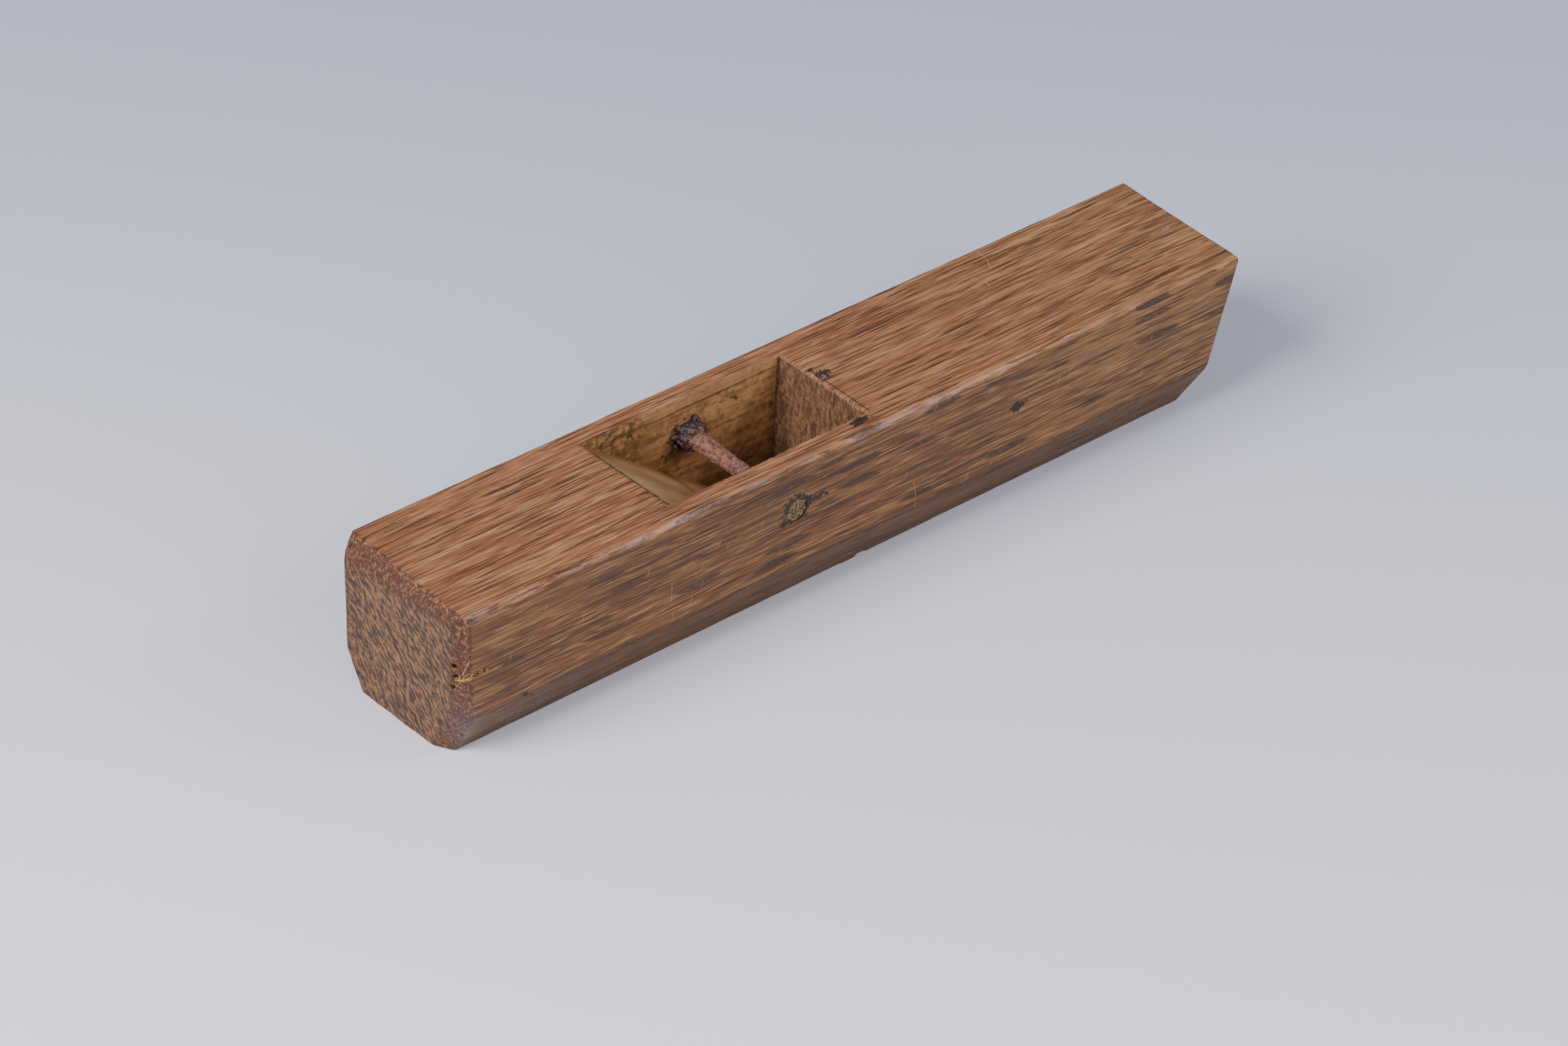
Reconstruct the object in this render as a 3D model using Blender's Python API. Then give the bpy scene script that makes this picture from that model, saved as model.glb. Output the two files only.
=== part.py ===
"""Wooden hand plane, as found: a hardwood stock with an open throat, its rusted iron cross pin
and the stub of an iron nail broken off flush with the top.

Frame: +X from heel to toe, +Y to the far cheek, +Z up. The origin is under the middle of the sole.
"""

import bmesh
import bpy
from mathutils import Matrix, Vector
from math import cos, pi, radians, sin, tan

mm = 0.001

# Stock. The length is taken along the far top edge, the longest of the four.
stock_length = 304.8 * mm
stock_width = 54.4 * mm
stock_height = 51.4 * mm
toe_rake = radians(16.3)      # the toe end leans back towards the sole
toe_skew = radians(2.1)       # both ends are sawn slightly out of square in plan
heel_skew = radians(1.7)
sole_chamfer_inset = 8.2 * mm
sole_chamfer_height = 15.3 * mm

# Worn and trimmed edges of the stock
heel_arris_near = 4.6 * mm    # trimmed corner, measured across the heel end
heel_arris_far = 1.6 * mm
heel_arris_along = 3.1 * mm   # the same trim, measured along the near side
heel_bevel_far = 4.2 * mm     # crushed top edge of the heel, measured along the top
heel_bevel_near = 1.5 * mm
heel_bevel_slope = 2.1        # drop of that bevel for each millimetre along the top
top_arris_near = 1.6 * mm
top_arris_far = 0.8 * mm
toe_arris = 1.0 * mm

# Throat
near_cheek = 8.2 * mm
far_cheek = 6.8 * mm
bed_angle = radians(36.4)
bed_skew = radians(2.1)
front_lean = radians(2.4)
front_skew = radians(0.9)
mouth_rear_x = -3.4 * mm      # where the bed ends, above a short upright land
mouth_opening = 5.4 * mm
mouth_land = 1.5 * mm
mouth_margin = 1.2 * mm       # wood left at the sole between the mouth's ends and the chamfers
mouth_shoulder = 0.6 * mm     # the mouth is at least this much narrower than the throat on each side
mouth_shoulder_height = 6.0 * mm

# Cross pin
pin_end_radius = 3.8 * mm     # where the cheeks have kept the iron at its full size
pin_waist_radius = 2.45 * mm  # rusted thin where it is bare
pin_shank_radius = 3.2 * mm   # thickening towards the far cheek
pin_waist_to_cheek = 7.5 * mm     # from the near cheek to the thinnest stretch
pin_waist_length = 9.0 * mm
pin_flare_radius = 5.2 * mm   # swollen crust against the far cheek
pin_flare_length = 5.5 * mm
pin_behind_mouth = 26.3 * mm
pin_over_bed = 12.8 * mm      # square to the bed, from its surface to the pin's axis
pin_slope = radians(3.0)      # the bore climbs towards the far cheek
pin_skew = radians(2.9)       # and runs towards the heel
pin_end_recess = 0.5 * mm
pin_segments = 40
pin_flare_rings = 6

# Broken nail
nail_radius = 1.1 * mm
nail_tip_radius = 0.75 * mm
nail_length = 9.0 * mm
nail_ahead_of_throat = 3.4 * mm
nail_off_centre = 3.5 * mm
nail_recess = 0.1 * mm
nail_segments = 20

seat_clearance = 0.3 * mm     # left around each piece that is driven into the wood
overshoot = 5.0 * mm          # how far a cutter runs past the wood

half_length = stock_length / 2
half_width = stock_width / 2
throat_near_y = -half_width + near_cheek
throat_far_y = half_width - far_cheek
mouth_front_x = mouth_rear_x + mouth_opening


def clear_scene():
    for found in list(bpy.data.objects):
        bpy.data.objects.remove(found, do_unlink=True)


def material(name, colour, roughness, metallic):
    made = bpy.data.materials.new(name)
    made.use_nodes = True
    shader = made.node_tree.nodes["Principled BSDF"]
    shader.inputs["Base Color"].default_value = (*colour, 1.0)
    shader.inputs["Roughness"].default_value = roughness
    shader.inputs["Metallic"].default_value = metallic
    return made


def object_from(bm, name, finish=None):
    bmesh.ops.recalc_face_normals(bm, faces=bm.faces)
    mesh = bpy.data.meshes.new(name)
    bm.to_mesh(mesh)
    bm.free()
    made = bpy.data.objects.new(name, mesh)
    bpy.context.scene.collection.objects.link(made)
    if finish:
        mesh.materials.append(finish)
    return made


def plane_off(bm, point, normal):
    """Cuts away everything on the outer side of a plane and closes the cut, as a hand plane would."""
    everything = list(bm.verts) + list(bm.edges) + list(bm.faces)
    cut = bmesh.ops.bisect_plane(
        bm, geom=everything, dist=1e-7, plane_co=point, plane_no=normal, clear_outer=True
    )
    edges = [item for item in cut["geom_cut"] if isinstance(item, bmesh.types.BMEdge)]
    bmesh.ops.contextual_create(bm, geom=edges)


def turned(name, profile, segments, finish=None):
    """A solid turned about +Z from (height, radius) points, closed by a flat disc at each end."""
    bm = bmesh.new()
    rings = []
    for height, radius in profile:
        angles = [2 * pi * i / segments for i in range(segments)]
        rings.append([bm.verts.new((radius * cos(a), radius * sin(a), height)) for a in angles])
    for lower, upper in zip(rings, rings[1:]):
        for i in range(segments):
            j = (i + 1) % segments
            bm.faces.new((lower[i], lower[j], upper[j], upper[i]))
    bm.faces.new(rings[0][::-1])
    bm.faces.new(rings[-1])
    made = object_from(bm, name, finish)
    made.data.shade_smooth()
    made.data.set_sharp_from_angle(angle=radians(40))
    return made


def cut_from(body, cutter):
    cutter.hide_render = True
    cutter.display_type = "WIRE"
    cutter.parent = body
    modifier = body.modifiers.new(cutter.name, "BOOLEAN")
    modifier.operation = "DIFFERENCE"
    modifier.solver = "EXACT"
    modifier.object = cutter


def bed_height(x):
    """Height of the bed above the sole, on the middle line of the stock."""
    return mouth_land + (mouth_rear_x - x) * tan(bed_angle)


def rear_x(y, z):
    """Where the throat starts: on the bed, or on the upright land below it."""
    return mouth_rear_x - max(z - mouth_land, 0) / tan(bed_angle) - y * tan(bed_skew)


def front_x(z):
    return mouth_front_x + z * tan(front_lean)


def pin_frame():
    """Turns +Z to the pin's axis and puts the origin where that axis crosses the middle of the stock."""
    x = mouth_rear_x - pin_behind_mouth
    centre = Vector((x, 0.0, bed_height(x) + pin_over_bed / cos(bed_angle)))
    direction = Vector((-tan(pin_skew), 1.0, tan(pin_slope))).normalized()
    return Matrix.Translation(centre) @ direction.to_track_quat("Z", "Y").to_matrix().to_4x4()


def along_pin(y):
    """Distance along the pin's axis for a place across the stock."""
    return y * Vector((tan(pin_skew), 1.0, tan(pin_slope))).length


def nail_place():
    y = nail_off_centre
    x = front_x(stock_height) - y * tan(front_skew) + nail_ahead_of_throat
    return Matrix.Translation((x, y, stock_height))


def stock_blank():
    """The squared blank, with its ends sawn and its edges taken off."""
    bm = bmesh.new()
    bmesh.ops.create_cube(bm, size=1.0)
    spare = 2 * overshoot
    for vert in bm.verts:
        vert.co.x *= stock_length + spare
        vert.co.y *= stock_width
        vert.co.z = (vert.co.z + 0.5) * stock_height

    heel_near_x = -half_length + stock_width * tan(heel_skew)
    plane_off(bm, (-half_length, half_width, 0), (-1, -tan(heel_skew), 0))
    plane_off(bm, (half_length, half_width, stock_height), (1, -tan(toe_skew), -tan(toe_rake)))
    for side in (-1, 1):
        edge = (0, side * half_width, sole_chamfer_height)
        plane_off(bm, edge, (0, side * sole_chamfer_height, -sole_chamfer_inset))

    near_corner = (heel_near_x + heel_arris_along, -half_width, 0)
    plane_off(bm, near_corner, (-heel_arris_near, -heel_arris_along, 0))
    far_corner = (-half_length, half_width - heel_arris_far, 0)
    plane_off(bm, far_corner, (-1, 1, 0))

    # The near corner's trim carries on round the end of the sole's chamfer.
    chamfer = Vector((0, -sole_chamfer_height, -sole_chamfer_inset)).normalized()
    trim = Vector((-heel_arris_near, 0, 0)) + heel_arris_along * chamfer
    chamfer_end = Vector((heel_near_x + heel_arris_along, -half_width, sole_chamfer_height))
    plane_off(bm, chamfer_end, trim)

    top_far = Vector((-half_length + heel_bevel_far, half_width, stock_height))
    top_near = Vector((heel_near_x + heel_bevel_near, -half_width, stock_height))
    fall = Vector((-1, 0, -heel_bevel_slope))
    plane_off(bm, top_far, fall.cross(top_near - top_far))

    plane_off(bm, (0, -half_width + top_arris_near, stock_height), (0, -1, 1))
    plane_off(bm, (0, half_width - top_arris_far, stock_height), (0, 1, 1))
    toe_edge = (half_length - toe_arris, half_width, stock_height)
    plane_off(bm, toe_edge, (1, -tan(toe_skew), 1))
    return bm


def throat_cutter():
    """The throat and the narrower mouth below it, as one solid bounded by the bed and the front wall."""
    high = stock_height + overshoot
    low = -overshoot
    mouth_reach = half_width - sole_chamfer_inset - mouth_margin
    inner_near_y = max(throat_near_y + mouth_shoulder, -mouth_reach)
    inner_far_y = min(throat_far_y - mouth_shoulder, mouth_reach)
    bm = bmesh.new()
    walls = []
    for outer_y, inner_y in ((throat_near_y, inner_near_y), (throat_far_y, inner_far_y)):
        corners = [
            (outer_y, high),
            (outer_y, mouth_shoulder_height),
            (inner_y, mouth_shoulder_height),
            (inner_y, mouth_land),
            (inner_y, low),
        ]
        rear = [bm.verts.new((rear_x(y, z), y, z)) for y, z in corners]
        front = [bm.verts.new((front_x(z) - y * tan(front_skew), y, z)) for y, z in corners]
        walls.append((rear, front))
        for i in range(len(corners) - 1):
            bm.faces.new((rear[i], rear[i + 1], front[i + 1], front[i]))
    (near_rear, near_front), (far_rear, far_front) = walls
    bm.faces.new((near_rear[0], near_front[0], far_front[0], far_rear[0]))
    bm.faces.new((near_rear[-1], near_front[-1], far_front[-1], far_rear[-1]))
    bm.faces.new(near_rear[:-1] + far_rear[-2::-1])
    bm.faces.new(near_rear[-2:] + far_rear[:-3:-1])
    bm.faces.new(near_front + far_front[::-1])
    return object_from(bm, "throat_cutter")


def build_stock(wood):
    stock = object_from(stock_blank(), "stock", wood)
    cut_from(stock, throat_cutter())

    reach = along_pin(half_width + overshoot)
    bore_radius = pin_end_radius + seat_clearance
    bore = turned("pin_bore_cutter", [(-reach, bore_radius), (reach, bore_radius)], pin_segments)
    bore.matrix_world = pin_frame()
    cut_from(stock, bore)

    hole_radius = nail_radius + seat_clearance
    depth = nail_length + nail_recess + seat_clearance
    nail_hole = turned("nail_hole_cutter", [(-depth, hole_radius), (overshoot, hole_radius)], nail_segments)
    nail_hole.matrix_world = nail_place()
    cut_from(stock, nail_hole)
    return stock


def build_cross_pin(iron):
    """One iron pin through both cheeks: full size in the wood, wasted between, swollen at the far cheek."""
    near_wall = along_pin(throat_near_y)
    far_wall = along_pin(throat_far_y) - seat_clearance
    flare_start = far_wall - pin_flare_length
    waist_start = near_wall + pin_waist_to_cheek
    waist_end = waist_start + pin_waist_length
    # The flare's back lies square to the pin, so it stands off by the pin's lean across its radius.
    lean = pin_flare_radius * tan(pin_slope + pin_skew)
    profile = [
        (along_pin(-half_width) + pin_end_recess, pin_end_radius),
        (near_wall, pin_end_radius),
        (near_wall + pin_waist_to_cheek / 3, (pin_end_radius + pin_waist_radius) / 2),
        (waist_start, pin_waist_radius),
        (waist_end, pin_waist_radius),
    ]
    # The shank thickens steadily towards the flare, which opens like the mouth of a trumpet.
    spread = pin_flare_radius - pin_shank_radius
    for i in range(pin_flare_rings + 1):
        share = i / pin_flare_rings
        height = flare_start + (pin_flare_length - lean) * share
        profile.append((height, pin_shank_radius + spread * share ** 2))
    profile.append((far_wall - lean, pin_end_radius))
    profile.append((along_pin(half_width) - pin_end_recess, pin_end_radius))
    pin = turned("cross_pin", profile, pin_segments, iron)
    pin.matrix_world = pin_frame()
    return pin


def build_broken_nail(iron):
    top = -nail_recess
    tip = top - nail_length
    profile = [(tip, nail_tip_radius), (tip + nail_length / 3, nail_radius), (top, nail_radius)]
    nail = turned("broken_nail", profile, nail_segments, iron)
    nail.matrix_world = nail_place()
    return nail


def build():
    clear_scene()
    wood = material("aged_evergreen_oak", (0.22, 0.11, 0.06), 0.55, 0.0)
    rust = material("rusted_wrought_iron", (0.16, 0.07, 0.05), 0.8, 0.4)
    bare = material("worn_nail_iron", (0.25, 0.25, 0.27), 0.5, 0.8)
    build_stock(wood)
    build_cross_pin(rust)
    build_broken_nail(bare)


build()
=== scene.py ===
# An old wooden hand plane with an empty throat: an evergreen oak stock, a rusted iron cross pin
# and the stub of a nail. Lengths in the dictionaries are in millimetres, angles in degrees.
from functools import partial
from math import cos, pi, radians, sin, tan

import bmesh
import bpy
import numpy as np
from mathutils import Matrix, Vector


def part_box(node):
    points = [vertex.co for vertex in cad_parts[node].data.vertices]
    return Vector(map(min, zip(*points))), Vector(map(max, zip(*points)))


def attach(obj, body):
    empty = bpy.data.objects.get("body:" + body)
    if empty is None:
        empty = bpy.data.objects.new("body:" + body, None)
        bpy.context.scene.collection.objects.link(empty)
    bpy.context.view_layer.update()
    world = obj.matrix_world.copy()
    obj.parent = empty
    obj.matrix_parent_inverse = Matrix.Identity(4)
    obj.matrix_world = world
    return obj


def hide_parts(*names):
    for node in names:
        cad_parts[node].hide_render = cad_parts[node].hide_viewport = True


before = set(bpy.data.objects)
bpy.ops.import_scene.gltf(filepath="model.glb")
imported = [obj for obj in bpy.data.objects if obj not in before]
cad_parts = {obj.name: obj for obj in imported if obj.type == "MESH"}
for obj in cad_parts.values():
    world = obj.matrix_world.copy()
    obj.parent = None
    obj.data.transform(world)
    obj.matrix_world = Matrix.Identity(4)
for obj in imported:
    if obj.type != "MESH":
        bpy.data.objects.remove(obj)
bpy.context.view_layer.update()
mm = 0.001
stockLow, stockHigh = (np.array(corner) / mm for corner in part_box("stock"))
nailLow, nailHigh = (np.array(corner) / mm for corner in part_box("broken_nail"))
halfWidth = (stockHigh[1] - stockLow[1]) / 2
height = stockHigh[2]
heelX = stockLow[0]
toeX = stockHigh[0]

# What to change on the block itself
stockSizes = {
    "toeRake": 16.3, "toeSkew": 2.1, "heelSkew": 1.7,
    "chamferInset": 8.2, "chamferHeight": 15.3,
    "nearCheek": 8.2, "farCheek": 6.8,
    "bedAngle": 36.4, "bedSkew": 2.1, "frontLean": 2.4, "frontSkew": 0.9,
    "mouthRear": -3.4, "mouthOpening": 5.4, "mouthLand": 1.5, "mouthMargin": 1.2, "shoulderHeight": 6.0,
    "trimAcross": 4.6, "trimAlong": 3.1, "farTrim": 1.6,     # the cut corners of the heel
    "bevelNear": 1.5, "bevelFar": 4.2, "bevelSlope": 2.1,     # crushed top edge of the heel
    "edgeRound": 0.5, "nearArris": 1.7, "throatRound": 0.3,
    "nick": (2.6, 4.2, 0.45),     # step in the near sole edge: middle, reach, depth
}
# Dents pressed into the block: place, radius along the grain and across it, depth
dents = [
    ((-120, 8, 51.4), 7.0, 3.0, 0.16), ((-96, -17, 51.4), 5.0, 2.6, 0.13),
    ((31, -9, 51.4), 6.0, 2.5, 0.12), ((74, 12, 51.4), 8.0, 3.0, 0.15),
    ((110, -14, 51.4), 6.0, 2.8, 0.12), ((144.2, -0.9, 51.4), 1.6, 1.2, 0.35),
    ((-108, -27.2, 34), 8.0, 4.0, 0.14), ((-52, -27.2, 22), 9.0, 4.0, 0.16),
    ((22, -27.2, 33), 9.0, 3.0, 0.14), ((70, -27.2, 24), 7.0, 3.5, 0.15),
    ((112, -27.2, 38), 8.0, 3.0, 0.13), ((-128.6, -27.2, 15.6), 1.2, 0.8, 0.5),
    ((-126.2, -27.2, 15.4), 0.9, 0.7, 0.45), ((0.6, -21.1, 51.4), 1.6, 1.1, 0.2),
    ((-60, 25, 51.4), 2.0, 1.2, 0.2), ((-140, -27.2, 44), 3.0, 1.5, 0.2),
    ((93, -27.2, 47), 4.0, 1.2, 0.25), ((46, -27.2, 49.5), 3.0, 1.0, 0.3),
]


def slope(degrees):
    return tan(radians(degrees))


# Noise for shaping: one number from -1 to 1 for each whole-numbered cell, smoothed between cells
def lattice(cell, seed):
    h = cell[..., 0] * 374761393 + cell[..., 1] * 668265263 + cell[..., 2] * 915488749 + seed * 974634777
    h = ((h ^ (h >> 13)) * 1274126177) & 0x7FFFFFFF
    h = ((h ^ (h >> 15)) * 668265263) & 0x7FFFFFFF
    return ((h ^ (h >> 16)) & 0xFFFF) / 32767.5 - 1


def lumps(points, size, seed):
    p = points / np.array(size, float)
    cell = np.floor(p).astype(np.int64)
    part = p - cell
    part = part * part * (3 - 2 * part)
    total = 0
    for corner in np.ndindex(2, 2, 2):
        weight = np.abs(1 - np.array(corner) - part).prod(axis=-1)
        total = total + weight * lattice(cell + np.array(corner), seed)
    return total


def ease(low, high, value):
    t = np.clip((value - low) / (high - low), 0, 1)
    return t * t * (3 - 2 * t)


# Signed distances to the block's outer planes, positive outside
def unit(vector):
    vector = np.array(vector, float)
    return vector / np.linalg.norm(vector)


def outerPlanes():
    s = stockSizes
    heelNear = heelX + 2 * halfWidth * slope(s["heelSkew"])
    chamfer = unit((0, -s["chamferHeight"], -s["chamferInset"]))
    fall = np.array((-1, 0, -s["bevelSlope"]))
    bevelRun = np.array((heelNear + s["bevelNear"] - heelX - s["bevelFar"], -2 * halfWidth, 0))
    side = s["chamferHeight"]
    return {
        "sole": ((0, 0, 0), (0, 0, -1)),
        "top": ((0, 0, height), (0, 0, 1)),
        "near": ((0, -halfWidth, 0), (0, -1, 0)),
        "far": ((0, halfWidth, 0), (0, 1, 0)),
        "nearChamfer": ((0, -halfWidth, side), chamfer),
        "farChamfer": ((0, halfWidth, side), chamfer * (1, -1, 1)),
        "heel": ((heelX, halfWidth, 0), (-1, -slope(s["heelSkew"]), 0)),
        "toe": ((toeX, halfWidth, height), (1, -slope(s["toeSkew"]), -slope(s["toeRake"]))),
        "trim": ((heelNear + s["trimAlong"], -halfWidth, 0), (-s["trimAcross"], -s["trimAlong"], 0)),
        "lowTrim": ((heelNear + s["trimAlong"], -halfWidth, side),
                    np.array((-s["trimAcross"], 0, 0)) + s["trimAlong"] * chamfer),
        "farTrim": ((heelX, halfWidth - s["farTrim"], 0), (-1, 1, 0)),
        "bevel": ((heelX + s["bevelFar"], halfWidth, height), np.cross(fall, bevelRun)),
        "arris": ((0, s["nearArris"] - halfWidth, height), (0, -1, 1)),
    }


planes = outerPlanes()
planeOrder = list(planes)


def planeGaps(points):
    gaps = [(points - np.array(point)) @ unit(normal) for point, normal in planes.values()]
    gaps = np.stack(gaps, axis=-1)
    bevel = planeOrder.index("bevel")
    rough = 0.35 * lumps(points, (1.6, 1.1, 1.3), 41) + 0.45 * lumps(points, (5, 4.2, 5), 42)
    gaps[..., bevel] += rough - 0.1
    along = points * (1, 0, 0)
    wander = 0.30 * lumps(along, (13, 1, 1), 5) + 0.16 * lumps(along, (4.2, 1, 1), 6)
    wander = wander + 0.05 * lumps(along, (1.3, 1, 1), 8)
    gaps[..., planeOrder.index("arris")] += wander - 0.5 * ease(10, 90, points[..., 0])
    return gaps


def rearX(y, z):
    s = stockSizes
    rise = np.maximum(z - s["mouthLand"], 0)
    return s["mouthRear"] - rise / slope(s["bedAngle"]) - y * slope(s["bedSkew"])


def frontX(y, z):
    s = stockSizes
    return s["mouthRear"] + s["mouthOpening"] + z * slope(s["frontLean"]) - y * slope(s["frontSkew"])


# Distance into the wood from the nearest wall of the throat, negative in the opening
def throatGap(points):
    s = stockSizes
    x, y, z = points[..., 0], points[..., 1], points[..., 2]
    bed = (rearX(y, z) - x) * sin(radians(s["bedAngle"]))
    cheeks = [-y - halfWidth + s["nearCheek"], y - halfWidth + s["farCheek"]]
    return np.maximum.reduce([bed, x - frontX(y, z)] + cheeks)


# How round the edges are worn, changing along the block
def wornRadius(points):
    return stockSizes["edgeRound"] * (1 + 0.45 * lumps(points, (6, 6, 6), 7))


def woodLevel(points, radius, throatRadius, inThroat):
    gaps = planeGaps(points)
    level = np.sqrt((np.maximum(gaps + radius[:, None], 0) ** 2).sum(axis=-1)) - radius
    deep = gaps.max(axis=-1)
    level = np.where(deep < -radius, deep, level)
    inner = -throatGap(points)
    joined = np.hypot(np.maximum(deep + throatRadius, 0), np.maximum(inner + throatRadius, 0))
    joined = joined - throatRadius
    nearest = np.maximum(deep, inner)
    joined = np.where(nearest < -throatRadius, nearest, joined)
    return np.where(inThroat, joined, level)


# How far the worn surface lies below its true plane
def surfaceRelief(points):
    gentle = 0.07 * lumps(points, (38, 13, 13), 11) + 0.03 * lumps(points, (11, 4, 4), 12)
    fibres = 0.018 * lumps(points, (9, 0.9, 0.9), 13)
    relief = gentle + fibres + 0.06
    for place, along, across, depth in dents:
        away = (points - np.array(place)) / (along, across, across)
        relief = relief + depth * np.exp(-(away ** 2).sum(axis=-1) * 1.4)
    middle, reach, depth = stockSizes["nick"]
    low = ease(4, 0.5, points[..., 2]) * (points[..., 1] < -14)
    relief = relief + depth * low * ease(reach, reach - 0.8, np.abs(points[..., 0] - middle))
    return relief


# Steps from 0 to 1 in stretches of (length, count), shared out by length
def run(*stretches):
    parts = [np.array([0.0])]
    for reach, count in stretches:
        parts.append(parts[-1][-1] + reach * np.arange(1, count + 1) / count)
    steps = np.concatenate(parts)
    return steps / steps[-1]


# Points from guide to guide, each stretch shared out by its own steps, and where each one starts
def between(guides, steps):
    rows = [guides[0][None]]
    for start, end, share in zip(guides, guides[1:], steps):
        rows.append(start + (end - start) * share[1:].reshape(-1, *[1] * start.ndim))
    return np.concatenate(rows), np.cumsum([0] + [len(share) - 1 for share in steps])


# The block as a lattice of cells that follows its faces and its throat
def stockGrid():
    s = stockSizes
    z = np.concatenate([
        s["mouthLand"] * run((1, 4)),
        s["mouthLand"] + (s["shoulderHeight"] - s["mouthLand"]) * run((1, 5))[1:],
        s["shoulderHeight"] + (s["chamferHeight"] - s["shoulderHeight"]) * run((1, 10))[1:],
        s["chamferHeight"] + (height - s["chamferHeight"]) * run((33.4, 33), (1.3, 3), (1.4, 5))[1:],
    ])
    soleY = halfWidth - s["chamferInset"]
    mouthY = soleY - s["mouthMargin"]
    outer = halfWidth - s["chamferInset"] * np.maximum(0, 1 - z / s["chamferHeight"])
    low = np.clip(z / s["shoulderHeight"], 0, 1)
    nearWall = (mouthY + 0.6) + (halfWidth - s["nearCheek"] - mouthY - 0.6) * low
    farWall = (mouthY + 0.6) + (halfWidth - s["farCheek"] - mouthY - 0.6) * low
    cheek = run((0.9, 4), (1.3, 3), (5, 5))
    guides = [-outer, -nearWall, np.full_like(z, -mouthY), np.full_like(z, mouthY), farWall, outer]
    steps = [cheek, run((1, 2)), run((1, 36)), run((1, 3)), 1 - cheek[::-1]]
    y, yMarks = between(guides, steps)
    zz = np.broadcast_to(z, y.shape)
    heel = heelX - slope(s["heelSkew"]) * (y - halfWidth)
    toe = toeX + slope(s["toeSkew"]) * (y - halfWidth) + slope(s["toeRake"]) * (zz - height)
    guides = [heel, heel + 6, rearX(y, zz), frontX(y, zz), toe]
    steps = [run((1, 13)), run((1, 92)), run((1, 72)), run((145, 140), (1.6, 3), (1.4, 4))]
    x, xMarks = between(guides, steps)
    points = np.stack([x, np.broadcast_to(y, x.shape), np.broadcast_to(zz, x.shape)], axis=-1)
    solid = np.ones([n - 1 for n in x.shape], bool)
    shoulder = int(np.argmin(abs(z - s["shoulderHeight"])))
    across = slice(xMarks[2], xMarks[3])
    solid[across, yMarks[1]:yMarks[4], shoulder:] = False
    solid[across, yMarks[2]:yMarks[3], :shoulder] = False
    return points, solid


# Quads between solid and empty cells, wound to face out of the wood
def cellFaces(solid):
    index = np.arange(np.prod([n + 1 for n in solid.shape])).reshape([n + 1 for n in solid.shape])
    quads = []
    for axis in range(3):
        padding = [(0, 0)] * 3
        padding[axis] = (1, 1)
        state = np.moveaxis(np.pad(solid, padding).astype(int), axis, 0)
        step = state[1:] - state[:-1]
        corners = np.moveaxis(index, axis, 0)
        if axis == 1:                                    # keeps the axes in right-handed order
            corners = corners.transpose(0, 2, 1)
            step = step.transpose(0, 2, 1)
        for sign in (1, -1):
            i, j, k = np.nonzero(step == sign)
            ring = [corners[i, j, k], corners[i, j + 1, k], corners[i, j + 1, k + 1], corners[i, j, k + 1]]
            if sign == 1:
                ring = ring[::-1]
            quads.append(np.stack(ring, axis=-1))
    return np.concatenate(quads)


def linked(name, data):
    made = bpy.data.objects.new(name, data)
    bpy.context.scene.collection.objects.link(made)
    return made


def meshObject(name, points, faces):
    mesh = bpy.data.meshes.new(name)
    mesh.from_pydata((np.asarray(points) * mm).tolist(), [], np.asarray(faces).tolist())
    mesh.update()
    return linked(name, mesh)


def settled(name, bm):
    mesh = bpy.data.meshes.new(name)
    bm.to_mesh(mesh)
    bm.free()
    return linked(name, mesh)


# The object with its modifiers worked in, as one plain mesh
def flowed(obj):
    graph = bpy.context.evaluated_depsgraph_get()
    mesh = bpy.data.meshes.new_from_object(obj.evaluated_get(graph))
    obj.modifiers.clear()
    old = obj.data
    obj.data = mesh
    bpy.data.meshes.remove(old)
    mesh.name = obj.name
    return obj


def vectors(items, kind):
    flat = np.empty(len(items) * 3)
    items.foreach_get(kind, flat)
    return flat.reshape(-1, 3)


def meshPoints(mesh):
    return vectors(mesh.vertices, "co") / mm


def setPoints(mesh, points):
    mesh.vertices.foreach_set("co", (points * mm).ravel())
    mesh.update()


# Lays the grid's outer points on the worn surface, in steps down the slope of its distance
def shapeStock():
    points, solid = stockGrid()
    quads = cellFaces(solid)
    used, faces = np.unique(quads, return_inverse=True)
    faces = faces.reshape(quads.shape)
    points = points.reshape(-1, 3)[used]
    x, y, z = points.T
    gap = throatGap(points)
    nearTop = z > height - 4
    inThroat = (gap < 1e-6) | ((np.abs(gap) < 1.5) & nearTop)
    still = (z < 7.5) & (gap < 1e-6)                      # the mouth keeps its true shape
    radius = wornRadius(points)
    flat = points * (1, 1, 0)
    ragged = np.maximum(0, lumps(flat, (2.2, 2.2, 1), 21)) + np.maximum(0, lumps(flat, (0.9, 0.9, 1), 22))
    throatRadius = stockSizes["throatRound"] * (1 + 1.6 * ragged)
    frontEdge = (np.abs(x - frontX(y, z)) < 1.5) & nearTop
    throatRadius = np.where(frontEdge, throatRadius + 0.45, throatRadius)
    relief = surfaceRelief(points)
    wall = (gap < 1e-6) & (z < height - 0.5)
    relief = np.where(wall, 0.035 + 0.04 * lumps(points, (7, 3, 3), 31), relief)
    moved = points.copy()
    nudge = 0.02
    for turn in range(6):
        level = woodLevel(moved, radius, throatRadius, inThroat) + relief
        grad = np.empty_like(moved)
        for axis in range(3):
            aside = moved + nudge * np.eye(3)[axis]
            grad[:, axis] = (woodLevel(aside, radius, throatRadius, inThroat) + relief - level) / nudge
        size = np.maximum((grad ** 2).sum(axis=-1), 0.25)
        step = -(level / size)[:, None] * grad
        step[still] = 0
        moved += step * 0.9
    moved = np.clip(moved, (heelX, -halfWidth, 0), (toeX, halfWidth, height))
    return meshObject("oak_stock", moved, faces)


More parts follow.
